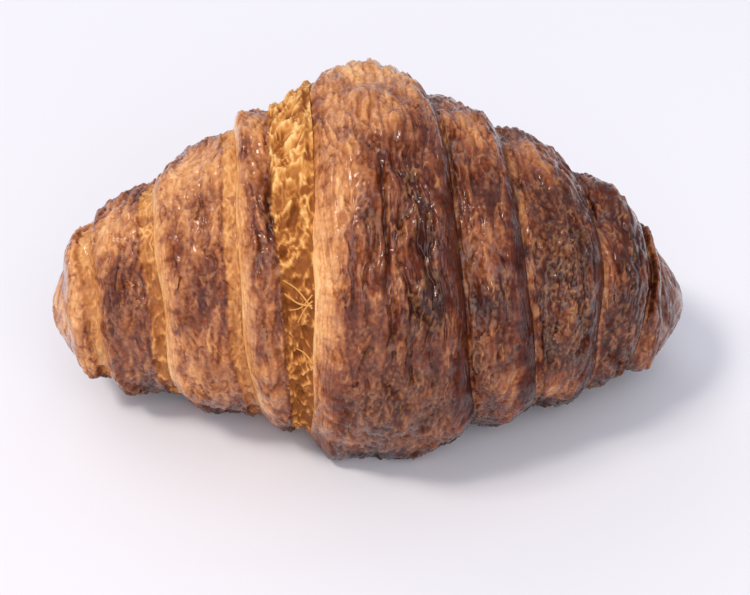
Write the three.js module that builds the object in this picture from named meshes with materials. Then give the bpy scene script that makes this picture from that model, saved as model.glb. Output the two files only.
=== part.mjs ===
// A baked butter croissant, in millimetres, +Z up, its long way on X and its shown side towards -Y.
// The real one is a long triangle of laminated dough, wound up from its wide end and baked standing
// on its own flat base. Its turns lie over each other like shingles: a broad middle lobe on top, and
// towards each horn one turn after the other, each ending in a cut edge that faces the horn.
import * as THREE from 'three';

// The whole roll. Lengths along it are counted from the middle, negative to the left.
const LEFT_REACH = 73.0;
const RIGHT_REACH = 73.0;
const LEFT_CURVE_RADIUS = 414;
const RIGHT_CURVE_RADIUS = 1200;
const HALF_DEPTH = 40.8;
const HEIGHT = 72.6;

// How the section shrinks from the middle to a horn: (1 - share^POWER)^BLUNT of its middle size,
// where share runs from the rounded middle to a taper length a little past the horn's tip. Each
// tip is then rounded off over its last few millimetres.
const LEFT_TAPER = 78.5;
const RIGHT_TAPER = 75.5;
const MIDDLE_ROUND = 9.0;
const DEPTH_POWER_LEFT = 0.84;
const DEPTH_POWER_RIGHT = 1.58;
const DEPTH_BLUNT = 0.75;
const HEIGHT_POWER_LEFT = 1.16;
const HEIGHT_POWER_RIGHT = 0.97;
const HEIGHT_BLUNT = 0.57;
const LEFT_TIP_ROUND = 10.0;
const RIGHT_TIP_ROUND = 7.0;

// The section is widest a little under half its height, and its lower half would reach just below
// the tray, which flattens it there. The horns rise off the tray as they bake.
const WIDEST_SHARE = 0.46;
const LOWER_SHARE = 0.53;
const HORN_LIFT_LEFT = 12.0;
const LIFT_POWER_LEFT = 1.7;
const HORN_LIFT_RIGHT = 10.0;
const LIFT_POWER_RIGHT = 1.4;

// The turns, from the middle outwards. foot: where the cut edge comes down on the turn below, at the
// front of the roll. lean: how far that line runs to the right as it climbs. rise: how far the turn
// stands proud. edge: width of the cut edge. bare: width of the pale dough that the oven has pulled
// out from under the turn before.
const LEFT_TURNS = [
  { foot: -14.4, lean: 0.2, rise: 4.0, edge: 7.0, bare: 0 },
  { foot: -26.9, lean: -2.5, rise: 2.6, edge: 3.6, bare: 5.2 },
  { foot: -44.2, lean: -2.9, rise: 2.4, edge: 4.6, bare: 2.8 },
  { foot: -59.2, lean: -2.6, rise: 1.8, edge: 2.4, bare: 3.2 },
  { foot: -67.0, lean: -1.8, rise: 2.0, edge: 2.6, bare: 2.6 },
];
const RIGHT_TURNS = [
  { foot: 17.2, lean: -2.5, rise: 4.0, edge: 5.5, bare: 0 },
  { foot: 31.2, lean: -1.8, rise: 1.8, edge: 5.4, bare: 0.8 },
  { foot: 47.0, lean: 1.7, rise: 2.4, edge: 4.2, bare: 1.8 },
  { foot: 58.6, lean: 4.0, rise: 2.0, edge: 2.6, bare: 1.0 },
  { foot: 64.2, lean: 1.3, rise: 1.8, edge: 2.0, bare: 0.8 },
];

// The winding: behind the crest each edge works inwards by this share of its turn, so that the
// middle lobe narrows to the triangle's point, which ends tucked under the base.
const TUCK = 0.75;
const TUCK_START = 95 * Math.PI / 180;
const BASE_BACK = 240 * Math.PI / 180;
const BASE_FRONT = 300 * Math.PI / 180;

// Relief of the crust.
const RISE_AT_CREST = 0.35;
const EDGE_ROUND = 0.8;
const STEEPER_AT_CREST = 0.5;
const CREST_SINE = 0.75;
const SKIN_FALL = 2.2;
const LOBE_CROWN = 0.2;
const NARROW_RISE = 0.35;
const CROWDED = 0.75;
const GAP_WIDENS = 2.2;
const GAP_DEPTH = 1.3;
const GAP_CREST_FILL = 5.0;
const BARE_DEPTH = 0.5;
const EDGE_WANDER = 0.45;
const SLOW_WAVES = 3;
const SLOW_SHIFT = 1.7;
const QUICK_WAVES = 7;
const QUICK_SHARE = 0.6;
const LUMP_HEIGHT = 0.55;
const LUMP_WAVES = 14;
const LUMP_LONGEST = 30;
const LUMP_SHORTEST = 11;

// Crags and sunk places, one by one: place along the roll and around it, size and height. Each falls
// off by CRAG_FALL times the square of the distance in its own sizes.
const CRAG_FALL = 2;
const CRAGS = [
  { along: 12.0, angle: 14, length: 4.2, width: 4.6, height: 1.8 },
  { along: -9.0, angle: -46, length: 9.0, width: 7.0, height: 1.6 },
  { along: 33.2, angle: 104, length: 2.2, width: 9.0, height: -1.5 },
  { along: 71.5, angle: 20, length: 4.0, width: 9.0, height: 1.2 },
  { along: -62.0, angle: -42, length: 4.0, width: 5.0, height: 1.2 },
  { along: -12.0, angle: -42, length: 4.0, width: 5.0, height: 1.6 },
  { along: -21.0, angle: 92, length: 5.0, width: 14.0, height: 1.6 },
  { along: -31.0, angle: 88, length: 4.0, width: 16.0, height: 2.0 },
  { along: -56.5, angle: 88, length: 8.0, width: 15.0, height: -2.2 },
  { along: -66.5, angle: 58, length: 5.0, width: 14.0, height: 2.8 },
  { along: -63.0, angle: -26, length: 9.0, width: 12.0, height: 2.0 },
  { along: 57.5, angle: 88, length: 4.5, width: 13.0, height: 2.2 },
  { along: 61.0, angle: -32, length: 8.0, width: 11.0, height: 2.2 },
  { along: -55.5, angle: -48, length: 6.0, width: 10.0, height: 2.6 },
  { along: -33.0, angle: -52, length: 9.0, width: 10.0, height: -2.0 },
  { along: 49.0, angle: 96, length: 5.0, width: 12.0, height: -2.4 },
  { along: 26.0, angle: 100, length: 4.0, width: 10.0, height: 1.2 },
  { along: -29.0, angle: 90, length: 7.0, width: 14.0, height: 0.9 },
  { along: 24.0, angle: -50, length: 13.0, width: 10.0, height: 1.0 },
  { along: 44.0, angle: -48, length: 11.0, width: 10.0, height: 1.0 },
];

// The grid: points around the roll, rows across the lobe, the places of a turn's rows as shares of
// its bare strip, skin and cut edge, rows in each horn past the last edge, and the share of a horn
// near its tip in which the lumps and crags fade out.
const AROUND = 72;
const LOBE_STEPS = 5;
const BARE_ROW = 0.55;
const TORN_ROW = 0.14;
const EDGE_ROW = 0.35;
const HORN_ROWS = 5;
const HORN_CROWD = 1.7;
const HORN_CALM = 0.12;
const SMALLEST_SHARE = 1e-5;

const clamp = (value, low, high) => Math.min(high, Math.max(low, value));
const smooth = (share) => {
  const t = clamp(share, 0, 1);
  return t * t * (3 - 2 * t);
};

// A fixed sequence of draws, so that each build gives the same lumps.
const DRAW_STEP = 16807;
const DRAW_RANGE = 2147483647;
const LUMP_SEED = 4127;

function makeDraw(seed) {
  let state = seed;
  return () => {
    state = (state * DRAW_STEP) % DRAW_RANGE;
    return state / DRAW_RANGE;
  };
}

// Broad lumps: waves that cross the crust in all directions, drawn once.
const draw = makeDraw(LUMP_SEED);
const lumpWaves = [];
for (let i = 0; i < LUMP_WAVES; i += 1) {
  const length = LUMP_SHORTEST + (LUMP_LONGEST - LUMP_SHORTEST) * draw();
  const heading = Math.PI * 2 * draw();
  const pitch = Math.asin(2 * draw() - 1);
  const start = Math.PI * 2 * draw();
  const k = Math.PI * 2 / length;
  lumpWaves.push({
    x: k * Math.cos(heading) * Math.cos(pitch),
    y: k * Math.sin(heading) * Math.cos(pitch),
    z: k * Math.sin(pitch),
    start,
  });
}

function lumps(point) {
  let sum = 0;
  for (const wave of lumpWaves) {
    sum += Math.sin(wave.x * point.x + wave.y * point.y + wave.z * point.z + wave.start);
  }
  return LUMP_HEIGHT * sum / Math.sqrt(LUMP_WAVES / 2);
}

// Angles around the roll: 0 front, 90 degrees crest, 180 back, 270 underside.
function tuckedShare(angle) {
  const turn = angle < BASE_FRONT - 2 * Math.PI ? angle + 2 * Math.PI : angle;
  if (turn < BASE_BACK) {
    return TUCK * smooth((turn - TUCK_START) / (BASE_BACK - TUCK_START));
  }
  return TUCK * (1 - smooth((turn - BASE_BACK) / (BASE_FRONT - BASE_BACK)));
}

function footAt(turns, index, angle) {
  const turn = turns[index];
  const inner = index === 0 ? 0 : turns[index - 1].foot;
  const slow = Math.sin(SLOW_WAVES * angle + SLOW_SHIFT * turn.foot);
  const quick = QUICK_SHARE * Math.sin(QUICK_WAVES * angle + turn.foot);
  const tucked = tuckedShare(angle) * (turn.foot - inner);
  return turn.foot + turn.lean * Math.sin(angle) + EDGE_WANDER * (slow + quick) - tucked;
}

function shareOut(s) {
  return clamp(s < 0 ? -s / LEFT_REACH : s / RIGHT_REACH, 0, 1);
}

function taperShare(s) {
  const soften = (length) => Math.hypot(length, MIDDLE_ROUND) - MIDDLE_ROUND;
  return soften(s) / soften(s < 0 ? LEFT_TAPER : RIGHT_TAPER);
}

function halfDepthAt(s) {
  const power = s < 0 ? DEPTH_POWER_LEFT : DEPTH_POWER_RIGHT;
  return HALF_DEPTH * (1 - taperShare(s) ** power) ** DEPTH_BLUNT;
}

function heightAt(s) {
  const power = s < 0 ? HEIGHT_POWER_LEFT : HEIGHT_POWER_RIGHT;
  return HEIGHT * (1 - taperShare(s) ** power) ** HEIGHT_BLUNT;
}

function tipRound(s) {
  const left = s < 0;
  const room = ((left ? LEFT_REACH : RIGHT_REACH) - Math.abs(s)) / (left ? LEFT_TIP_ROUND : RIGHT_TIP_ROUND);
  return Math.sqrt(Math.max(1 - (1 - clamp(room, 0, 1)) ** 2, SMALLEST_SHARE));
}

function liftAt(s) {
  return s < 0
    ? HORN_LIFT_LEFT * shareOut(s) ** LIFT_POWER_LEFT
    : HORN_LIFT_RIGHT * shareOut(s) ** LIFT_POWER_RIGHT;
}

// A point of the roll: along it, around it, and out from its plain section by the relief.
function place(s, angle, relief) {
  const radius = s < 0 ? LEFT_CURVE_RADIUS : RIGHT_CURVE_RADIUS;
  const bend = s / radius;
  const round = tipRound(s);
  const halfDepth = halfDepthAt(s) * round;
  const height = heightAt(s);
  const middle = WIDEST_SHARE * height;
  const sine = Math.sin(angle);
  const cosine = Math.cos(angle);
  const halfHeight = (sine > 0 ? height - middle : LOWER_SHARE * height) * round;
  const normalOut = cosine / halfDepth;
  const normalUp = sine / halfHeight;
  const normal = Math.hypot(normalOut, normalUp);
  const out = halfDepth * cosine + relief * normalOut / normal;
  const up = middle + liftAt(s) + halfHeight * sine + relief * normalUp / normal;
  return new THREE.Vector3(
    radius * Math.sin(bend) + Math.sin(bend) * out,
    radius * (1 - Math.cos(bend)) - Math.cos(bend) * out,
    Math.max(0, up),
  );
}

function crags(s, angle) {
  const around = (halfDepthAt(s) + heightAt(s) / 2) / 2;
  let sum = 0;
  for (const crag of CRAGS) {
    const across = (s - crag.along) / crag.length;
    const away = (angle - crag.angle * Math.PI / 180) * around / crag.width;
    sum += crag.height * Math.exp(-CRAG_FALL * (across * across + away * away));
  }
  return sum;
}

// How far up its rise a cut edge is, at a share of its width from the foot.
function edgeFall(share) {
  return Math.sin(Math.PI / 2 * share) ** EDGE_ROUND;
}

// How wide a cut edge is at an angle, as a share of its width: near the crest it falls more steeply.
function edgeShare(angle) {
  return 1 - STEEPER_AT_CREST * smooth((Math.sin(angle) - CREST_SINE) / (1 - CREST_SINE));
}

// Rows of one turn from its inner edge outwards, each with its place and the turn's own relief.
function turnRows(turns, index, angle) {
  const turn = turns[index];
  const inner = footAt(turns, index - 1, angle);
  const outer = footAt(turns, index, angle);
  const width = Math.abs(outer - inner);
  const side = Math.sign(turn.foot);
  const wide = index === 1 && side < 0;
  const opened = wide ? turn.bare + GAP_WIDENS * Math.sin(angle) : turn.bare;
  const fit = Math.min(1, CROWDED * width / (opened + turn.edge));
  const bare = opened * fit;
  const edge = turn.edge * fit * edgeShare(angle);
  const filled = GAP_CREST_FILL * smooth(2 * Math.sin(angle) - 1);
  const depth = wide ? GAP_DEPTH - filled : BARE_DEPTH;
  const rise = turn.rise * (1 + RISE_AT_CREST * Math.sin(angle));
  const skin = width - bare - edge;
  const crest = (distance) => 1 - (1 - clamp((distance - bare) / skin, 0, 1)) ** SKIN_FALL;
  const rows = [
    { at: bare * BARE_ROW, relief: -depth },
    { at: bare, relief: -depth / 2 },
    { at: bare + skin * TORN_ROW, relief: rise * crest(bare + skin * TORN_ROW) },
    { at: bare + skin / 2, relief: rise * crest(bare + skin / 2) },
    { at: bare + skin, relief: rise },
    { at: width - edge * EDGE_ROW, relief: rise * edgeFall(EDGE_ROW) },
    { at: width, relief: 0 },
  ];
  return rows.map((row) => ({ s: inner + side * row.at, relief: row.relief }));
}

// Rows of the middle lobe, which has a cut edge on both sides.
function lobeRows(angle) {
  const left = footAt(LEFT_TURNS, 0, angle);
  const right = footAt(RIGHT_TURNS, 0, angle);
  const width = right - left;
  const fit = Math.min(1, CROWDED * width / (LEFT_TURNS[0].edge + RIGHT_TURNS[0].edge));
  const edgeLeft = LEFT_TURNS[0].edge * fit * edgeShare(angle);
  const edgeRight = RIGHT_TURNS[0].edge * fit * edgeShare(angle);
  const rise = LEFT_TURNS[0].rise * (NARROW_RISE + (1 - NARROW_RISE) * fit);
  const rows = [
    { s: left, relief: 0 },
    { s: left + edgeLeft * EDGE_ROW, relief: rise * edgeFall(EDGE_ROW) },
    { s: left + edgeLeft * EDGE_ROW * 2, relief: rise * edgeFall(EDGE_ROW * 2) },
  ];
  for (let i = 0; i <= LOBE_STEPS; i += 1) {
    const share = i / LOBE_STEPS;
    const crown = LOBE_CROWN * Math.sin(Math.PI * share);
    rows.push({ s: left + edgeLeft + (width - edgeLeft - edgeRight) * share, relief: rise + crown });
  }
  rows.push({ s: right - edgeRight * EDGE_ROW, relief: rise * edgeFall(EDGE_ROW) });
  rows.push({ s: right, relief: 0 });
  return rows;
}

// Rows of a horn, past its last edge, crowded towards the tip.
function hornRows(turns, reach, angle) {
  const last = footAt(turns, turns.length - 1, angle);
  const tip = Math.sign(last) * reach;
  const rows = [];
  for (let i = 1; i <= HORN_ROWS; i += 1) {
    const share = 1 - (1 - i / (HORN_ROWS + 1)) ** HORN_CROWD;
    rows.push({ s: last + (tip - last) * share, relief: 0 });
  }
  return rows;
}

function halfRows(turns, reach, angle) {
  const rows = [];
  for (let index = 1; index < turns.length; index += 1) {
    rows.push(...turnRows(turns, index, angle));
  }
  rows.push(...hornRows(turns, reach, angle));
  return rows;
}

function columnAt(angle) {
  const left = halfRows(LEFT_TURNS, LEFT_REACH, angle).reverse();
  const right = halfRows(RIGHT_TURNS, RIGHT_REACH, angle);
  return [...left, ...lobeRows(angle), ...right].map((row) => {
    const plain = place(row.s, angle, row.relief);
    const fade = smooth((1 - shareOut(row.s)) / HORN_CALM);
    const relief = row.relief + (lumps(plain) + crags(row.s, angle)) * fade;
    return place(row.s, angle, relief);
  });
}

// One closed skin: a ring of points for each row, closed by a tip at each horn.
function croissantSolid() {
  const columns = [];
  for (let j = 0; j < AROUND; j += 1) {
    columns.push(columnAt(-Math.PI / 3 + Math.PI * 2 * j / AROUND));
  }
  const rowCount = columns[0].length;
  const points = [];
  for (let i = 0; i < rowCount; i += 1) {
    for (let j = 0; j < AROUND; j += 1) {
      points.push(columns[j][i]);
    }
  }
  const leftTip = points.length;
  points.push(place(-LEFT_REACH, 0, 0));
  const rightTip = points.length;
  points.push(place(RIGHT_REACH, 0, 0));

  const faces = [];
  for (let j = 0; j < AROUND; j += 1) {
    const next = (j + 1) % AROUND;
    for (let i = 0; i + 1 < rowCount; i += 1) {
      const a = i * AROUND + j;
      const b = i * AROUND + next;
      const c = (i + 1) * AROUND + next;
      const d = (i + 1) * AROUND + j;
      faces.push(a, c, b, a, d, c);
    }
    faces.push(leftTip, j, next);
    const lastRow = (rowCount - 1) * AROUND;
    faces.push(rightTip, lastRow + next, lastRow + j);
  }

  const box = new THREE.Box3().setFromPoints(points);
  const middleX = (box.min.x + box.max.x) / 2;
  const middleY = (box.min.y + box.max.y) / 2;
  const positions = [];
  for (const point of points) {
    positions.push(point.x - middleX, point.y - middleY, point.z);
  }
  const geometry = new THREE.BufferGeometry();
  geometry.setAttribute('position', new THREE.Float32BufferAttribute(positions, 3));
  geometry.setIndex(faces);
  geometry.computeVertexNormals();
  return geometry;
}

const crust = new THREE.MeshStandardMaterial({ color: 0xa9653a, roughness: 0.45, metalness: 0 });
const croissant = new THREE.Mesh(croissantSolid(), crust);
croissant.name = 'croissant';

const part = new THREE.Group();
part.name = 'butter_croissant';
part.add(croissant);

export default part;
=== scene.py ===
import math

import bpy
import numpy as np
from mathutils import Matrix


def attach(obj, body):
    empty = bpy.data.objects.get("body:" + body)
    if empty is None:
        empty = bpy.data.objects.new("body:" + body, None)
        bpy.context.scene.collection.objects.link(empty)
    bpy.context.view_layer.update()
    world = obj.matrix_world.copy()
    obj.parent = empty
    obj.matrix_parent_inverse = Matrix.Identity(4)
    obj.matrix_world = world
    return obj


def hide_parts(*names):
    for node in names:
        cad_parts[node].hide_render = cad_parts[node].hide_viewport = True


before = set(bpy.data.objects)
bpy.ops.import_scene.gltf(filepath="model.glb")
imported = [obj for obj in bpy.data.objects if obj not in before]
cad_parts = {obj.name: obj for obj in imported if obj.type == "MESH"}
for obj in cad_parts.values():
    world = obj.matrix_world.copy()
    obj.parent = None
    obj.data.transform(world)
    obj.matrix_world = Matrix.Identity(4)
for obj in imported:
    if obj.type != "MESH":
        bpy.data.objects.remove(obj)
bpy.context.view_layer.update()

bpy.ops.object.select_all(action="DESELECT")

# The table: a plain pale top with a matt finish, wide enough to fill the view. The croissant stands on
# it, and it is no part of the croissant.
TABLE_WIDE = 6.0
TABLE_WHITE, TABLE_ROUGH = (0.80, 0.795, 0.83, 1.0), 0.8
bpy.ops.mesh.primitive_plane_add(size=TABLE_WIDE, location=(0.0, 0.0, 0.0))
table = bpy.context.object
table.name = "table"
table_white = bpy.data.materials.new("table_white")
table_white.use_nodes = True
table_finish = table_white.node_tree.nodes["Principled BSDF"]
table_finish.inputs["Base Color"].default_value = TABLE_WHITE
table_finish.inputs["Roughness"].default_value = TABLE_ROUGH
table.data.materials.append(table_white)

# The light: a window to the left with one bright pane, a soft panel overhead, a pale wall behind and a
# wide white screen in front, in a cool pale room. Each lamp faces the croissant. A lamp is its place and
# its width in metres, its power in watts and its colour.
ROOM_COLOUR, ROOM_STRENGTH = (0.84, 0.87, 1.0, 1.0), 0.50
room = bpy.data.worlds.new("pale_room")
bpy.context.scene.world = room
room.use_nodes = True
room.node_tree.nodes["Background"].inputs["Color"].default_value = ROOM_COLOUR
room.node_tree.nodes["Background"].inputs["Strength"].default_value = ROOM_STRENGTH

for name, from_x, from_y, from_z, size, power, colour in (
    ("window", -1.90, -0.45, 2.80, 0.85, 37.0, (1.0, 0.93, 0.84)),
    ("bright_pane", -1.60, -0.75, 2.60, 0.40, 19.0, (1.0, 0.93, 0.86)),
    ("ceiling_panel", 0.20, 0.10, 2.80, 2.40, 4.0, (0.93, 0.95, 1.0)),
    ("back_wall", -1.10, 2.30, 2.00, 2.00, 13.0, (0.96, 0.94, 1.0)),
    ("front_screen", 0.30, -2.60, 1.70, 3.20, 63.0, (0.99, 0.97, 1.0)),
):
    away = math.sqrt(from_x ** 2 + from_y ** 2 + from_z ** 2)
    turned = (math.acos(from_z / away), 0.0, math.atan2(from_x, -from_y))
    bpy.ops.object.light_add(type="AREA", location=(from_x, from_y, from_z), rotation=turned)
    lamp = bpy.context.object
    lamp.name = name
    lamp.data.shape = "SQUARE"
    lamp.data.size = size
    lamp.data.energy = power
    lamp.data.color = colour

# The camera: it looks down on the croissant through a portrait lens, from a little round to the left. It
# looks at a place near the middle, about a third of the way up.
CAMERA_TURN = math.radians(5.7)
CAMERA_DOWN = math.radians(35.0)
CAMERA_AWAY = 0.4296
LOOKS_AT_HEIGHT, LOOKS_AT_RIGHT = 0.0238, 0.0009
LENS_MM, FILM_WIDE_MM, NEAREST = 90, 36, 0.01
back = CAMERA_AWAY * math.cos(CAMERA_DOWN)
bpy.ops.object.camera_add(
    location=(
        LOOKS_AT_RIGHT * math.cos(CAMERA_TURN) - back * math.sin(CAMERA_TURN),
        -LOOKS_AT_RIGHT * math.sin(CAMERA_TURN) - back * math.cos(CAMERA_TURN),
        LOOKS_AT_HEIGHT + CAMERA_AWAY * math.sin(CAMERA_DOWN),
    ),
    rotation=(math.pi / 2 - CAMERA_DOWN, 0.0, -CAMERA_TURN),
)
camera = bpy.context.object
camera.data.lens = LENS_MM
camera.data.sensor_width = FILM_WIDE_MM
camera.data.clip_start = NEAREST
bpy.context.scene.camera = camera
bpy.context.scene.view_settings.view_transform = "Standard"


# The middle lobe: the last turn of the wound dough, which lies over all the others. It is a broad
# cushion, egg-washed and baked dark, with a cut edge of fine dough leaves down each side. The roll that
# it is wound on comes first, in millimetres, with the left side's value and then the right side's.
LEFT_REACH, RIGHT_REACH = 73.0, 73.0
LEFT_CURVE, RIGHT_CURVE = 414.0, 1200.0
HALF_DEPTH, HEIGHT = 40.8, 72.6
LEFT_TAPER, RIGHT_TAPER, MIDDLE_ROUND = 78.5, 75.5, 9.0
DEPTH_POWERS, DEPTH_BLUNT = (0.84, 1.58), 0.75
HEIGHT_POWERS, HEIGHT_BLUNT = (1.16, 0.97), 0.57
TIP_ROUNDS = (10.0, 7.0)
WIDEST_SHARE, LOWER_SHARE = 0.46, 0.53
HORN_LIFTS, LIFT_POWERS = (12.0, 10.0), (1.7, 1.4)
BOX_SHIFT = (-0.16533, 0.30128)


def smooth(share):
    """An even rise from 0 to 1 that starts and ends softly."""
    t = np.clip(share, 0, 1)
    return t * t * (3 - 2 * t)


def by_side(s, pair):
    """The left or the right value, by the side of the middle that a place is on."""
    return np.where(s < 0, pair[0], pair[1])


def share_out(s):
    """How far out a place is on its side, from 0 in the middle to 1 at the horn's tip."""
    return np.clip(np.abs(s) / by_side(s, (LEFT_REACH, RIGHT_REACH)), 0, 1)


def taper_share(s):
    """How much of its thickness the roll has lost at a place: rounded off in the middle, 1 past the tip."""
    def soften(length):
        return np.hypot(length, MIDDLE_ROUND) - MIDDLE_ROUND
    return soften(s) / by_side(s, (soften(LEFT_TAPER), soften(RIGHT_TAPER)))


def half_depth(s):
    """From the roll's line to its front or its back."""
    return HALF_DEPTH * (1 - taper_share(s) ** by_side(s, DEPTH_POWERS)) ** DEPTH_BLUNT


def height(s):
    """The roll's height, base to crest."""
    return HEIGHT * (1 - taper_share(s) ** by_side(s, HEIGHT_POWERS)) ** HEIGHT_BLUNT


def place(s, angle, relief, lowest=0.0):
    """A point of the roll in millimetres: along it, around it (0 front, a quarter turn crest) and out."""
    radius = by_side(s, (LEFT_CURVE, RIGHT_CURVE))
    bend = s / radius
    room_left = (by_side(s, (LEFT_REACH, RIGHT_REACH)) - np.abs(s)) / by_side(s, TIP_ROUNDS)
    tip = np.sqrt(np.maximum(1 - (1 - np.clip(room_left, 0, 1)) ** 2, 1e-5))
    tall = height(s)
    middle = WIDEST_SHARE * tall
    sine, cosine = np.sin(angle), np.cos(angle)
    deep = half_depth(s) * tip
    high = np.where(sine > 0, tall - middle, LOWER_SHARE * tall) * tip
    facing_out, facing_up = cosine / deep, sine / high
    facing = np.hypot(facing_out, facing_up)
    out = deep * cosine + relief * facing_out / facing
    lifted = by_side(s, HORN_LIFTS) * share_out(s) ** by_side(s, LIFT_POWERS)
    up = middle + lifted + high * sine + relief * facing_up / facing
    return np.stack([
        radius * np.sin(bend) + np.sin(bend) * out + BOX_SHIFT[0],
        radius * (1 - np.cos(bend)) - np.cos(bend) * out + BOX_SHIFT[1],
        np.maximum(lowest, up),
    ], axis=-1)


# The turns from the middle outwards: where the cut edge comes down, how it leans, how proud the turn
# stands, how wide its cut edge is, and how wide the strip of pale dough beside it is.
LEFT_TURNS = [
    (-14.4, 0.2, 4.0, 7.0, 0.0),
    (-26.9, -2.5, 2.6, 3.6, 5.2),
    (-44.2, -2.9, 2.4, 4.6, 2.8),
    (-59.2, -2.6, 1.8, 2.4, 3.2),
    (-67.0, -1.8, 2.0, 2.6, 2.6),
]
RIGHT_TURNS = [
    (17.2, -2.5, 4.0, 5.5, 0.0),
    (31.2, -1.8, 1.8, 5.4, 0.8),
    (47.0, 1.7, 2.4, 4.2, 1.8),
    (58.6, 4.0, 2.0, 2.6, 1.0),
    (64.2, 1.3, 1.8, 2.0, 0.8),
]
# Behind the crest the edges wind inwards, towards the point of the dough that is tucked under the base.
TUCK = 0.75
TUCK_START, BASE_BACK, BASE_FRONT = (math.radians(degrees) for degrees in (95, 240, 300))
EDGE_WANDER = 0.45


def foot_at(turns, index, angle):
    """Where a turn's cut edge lies along the roll: it winds inwards behind the crest and back below."""
    foot, lean = turns[index][:2]
    inner = 0.0 if index == 0 else turns[index - 1][0]
    turned = np.where(angle < BASE_FRONT - 2 * math.pi, angle + 2 * math.pi, angle)
    winding = np.where(
        turned < BASE_BACK,
        smooth((turned - TUCK_START) / (BASE_BACK - TUCK_START)),
        1 - smooth((turned - BASE_BACK) / (BASE_FRONT - BASE_BACK)),
    )
    wander = np.sin(3 * angle + 1.7 * foot) + 0.6 * np.sin(7 * angle + foot)
    return foot + lean * np.sin(angle) + EDGE_WANDER * wander - TUCK * winding * (foot - inner)


def edge_share(angle):
    """How wide a cut edge is at an angle, as a share of its width: near the crest it falls more steeply."""
    return 1 - 0.5 * smooth((np.sin(angle) - 0.75) / 0.25)


def draws(seed):
    """Chance numbers between 0 and 1, the same in each run."""
    state = seed
    while True:
        state = (state * 16807) % 2147483647
        yield state / 2147483647


LUMP_HEIGHT, LUMP_WAVES = 0.55, 14
LUMP_SHORTEST, LUMP_SPREAD = 11, 19
draw = draws(4127)
lump_waves = []
for _ in range(LUMP_WAVES):
    length = LUMP_SHORTEST + LUMP_SPREAD * next(draw)
    heading, pitch = 2 * math.pi * next(draw), math.asin(2 * next(draw) - 1)
    start, k = 2 * math.pi * next(draw), 2 * math.pi / length
    lump_waves.append((
        k * math.cos(heading) * math.cos(pitch),
        k * math.sin(heading) * math.cos(pitch),
        k * math.sin(pitch),
        start,
    ))

# Crags and dents: place along the roll, degrees around it, length, width, and height or depth.
CRAGS = [
    (12.0, 14, 4.2, 4.6, 1.8),
    (-9.0, -46, 9.0, 7.0, 1.6),
    (33.2, 104, 2.2, 9.0, -1.5),
    (71.5, 20, 4.0, 9.0, 1.2),
    (-62.0, -42, 4.0, 5.0, 1.2),
    (-12.0, -42, 4.0, 5.0, 1.6),
    (-21.0, 92, 5.0, 14.0, 1.6),
    (-31.0, 88, 4.0, 16.0, 2.0),
    (-56.5, 88, 8.0, 15.0, -2.2),
    (-66.5, 58, 5.0, 14.0, 2.8),
    (-63.0, -26, 9.0, 12.0, 2.0),
    (57.5, 88, 4.5, 13.0, 2.2),
    (61.0, -32, 8.0, 11.0, 2.2),
    (-55.5, -48, 6.0, 10.0, 2.6),
    (-33.0, -52, 9.0, 10.0, -2.0),
    (49.0, 96, 5.0, 12.0, -2.4),
    (26.0, 100, 4.0, 10.0, 1.2),
    (-29.0, 90, 7.0, 14.0, 0.9),
    (24.0, -50, 13.0, 10.0, 1.0),
    (44.0, -48, 11.0, 10.0, 1.0),
]


def broad_relief(s, angle, relief):
    """The lumps and crags that the solid has too, faded out at the horns' tips."""
    at = place(s, angle, relief) - (*BOX_SHIFT, 0.0)
    lumps = sum(
        np.sin(x * at[..., 0] + y * at[..., 1] + z * at[..., 2] + start)
        for x, y, z, start in lump_waves
    )
    lumps *= LUMP_HEIGHT / math.sqrt(LUMP_WAVES / 2)
    around = (half_depth(s) + height(s) / 2) / 2
    for along, degrees, length, width, tall in CRAGS:
        across = (s - along) / length
        away = (angle - math.radians(degrees)) * around / width
        lumps += tall * np.exp(-2 * (across ** 2 + away ** 2))
    return lumps * smooth((1 - share_out(s)) / 0.12)


# Chance patterns in the crust: soft ripples and spotted cells, both fixed by a seed.
dice = np.random.default_rng(271)
ORDER = dice.permutation(256)
ORDER = np.concatenate([ORDER, ORDER])
SLOPES = dice.uniform(0, 2 * math.pi, 256)
SLOPES = np.stack([np.cos(SLOPES), np.sin(SLOPES)], axis=-1)
SPOTS = dice.uniform(0, 1, (256, 3))


def corner(x, y, seed):
    """The shuffled number of a grid corner."""
    return ORDER[(ORDER[(x + 37 * seed) & 255] + y) & 255]


def ripple(x, y, seed):
    """Smooth chance ripples from about -1 to 1."""
    x0, y0 = np.floor(x).astype(int), np.floor(y).astype(int)
    fx, fy = x - x0, y - y0
    ux, uy = fx ** 3 * (fx * (6 * fx - 15) + 10), fy ** 3 * (fy * (6 * fy - 15) + 10)

    def pull(i, j):
        slope = SLOPES[corner(x0 + i, y0 + j, seed)]
        return slope[..., 0] * (fx - i) + slope[..., 1] * (fy - j)
    low = pull(0, 0) * (1 - ux) + pull(1, 0) * ux
    high = pull(0, 1) * (1 - ux) + pull(1, 1) * ux
    return 1.5 * (low * (1 - uy) + high * uy)


def cells(x, y, seed):
    """Distance to the nearest chance spot, and that spot's own number."""
    x0, y0 = np.floor(x).astype(int), np.floor(y).astype(int)
    near = np.full(x.shape, 9.0)
    own = np.zeros(x.shape)
    for i in (-1, 0, 1):
        for j in (-1, 0, 1):
            spot = SPOTS[corner(x0 + i, y0 + j, seed)]
            away = np.hypot(x0 + i + spot[..., 0] - x, y0 + j + spot[..., 1] - y)
            closer = away < near
            own = np.where(closer, spot[..., 2], own)
            near = np.where(closer, away, near)
    return near, own


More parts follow.
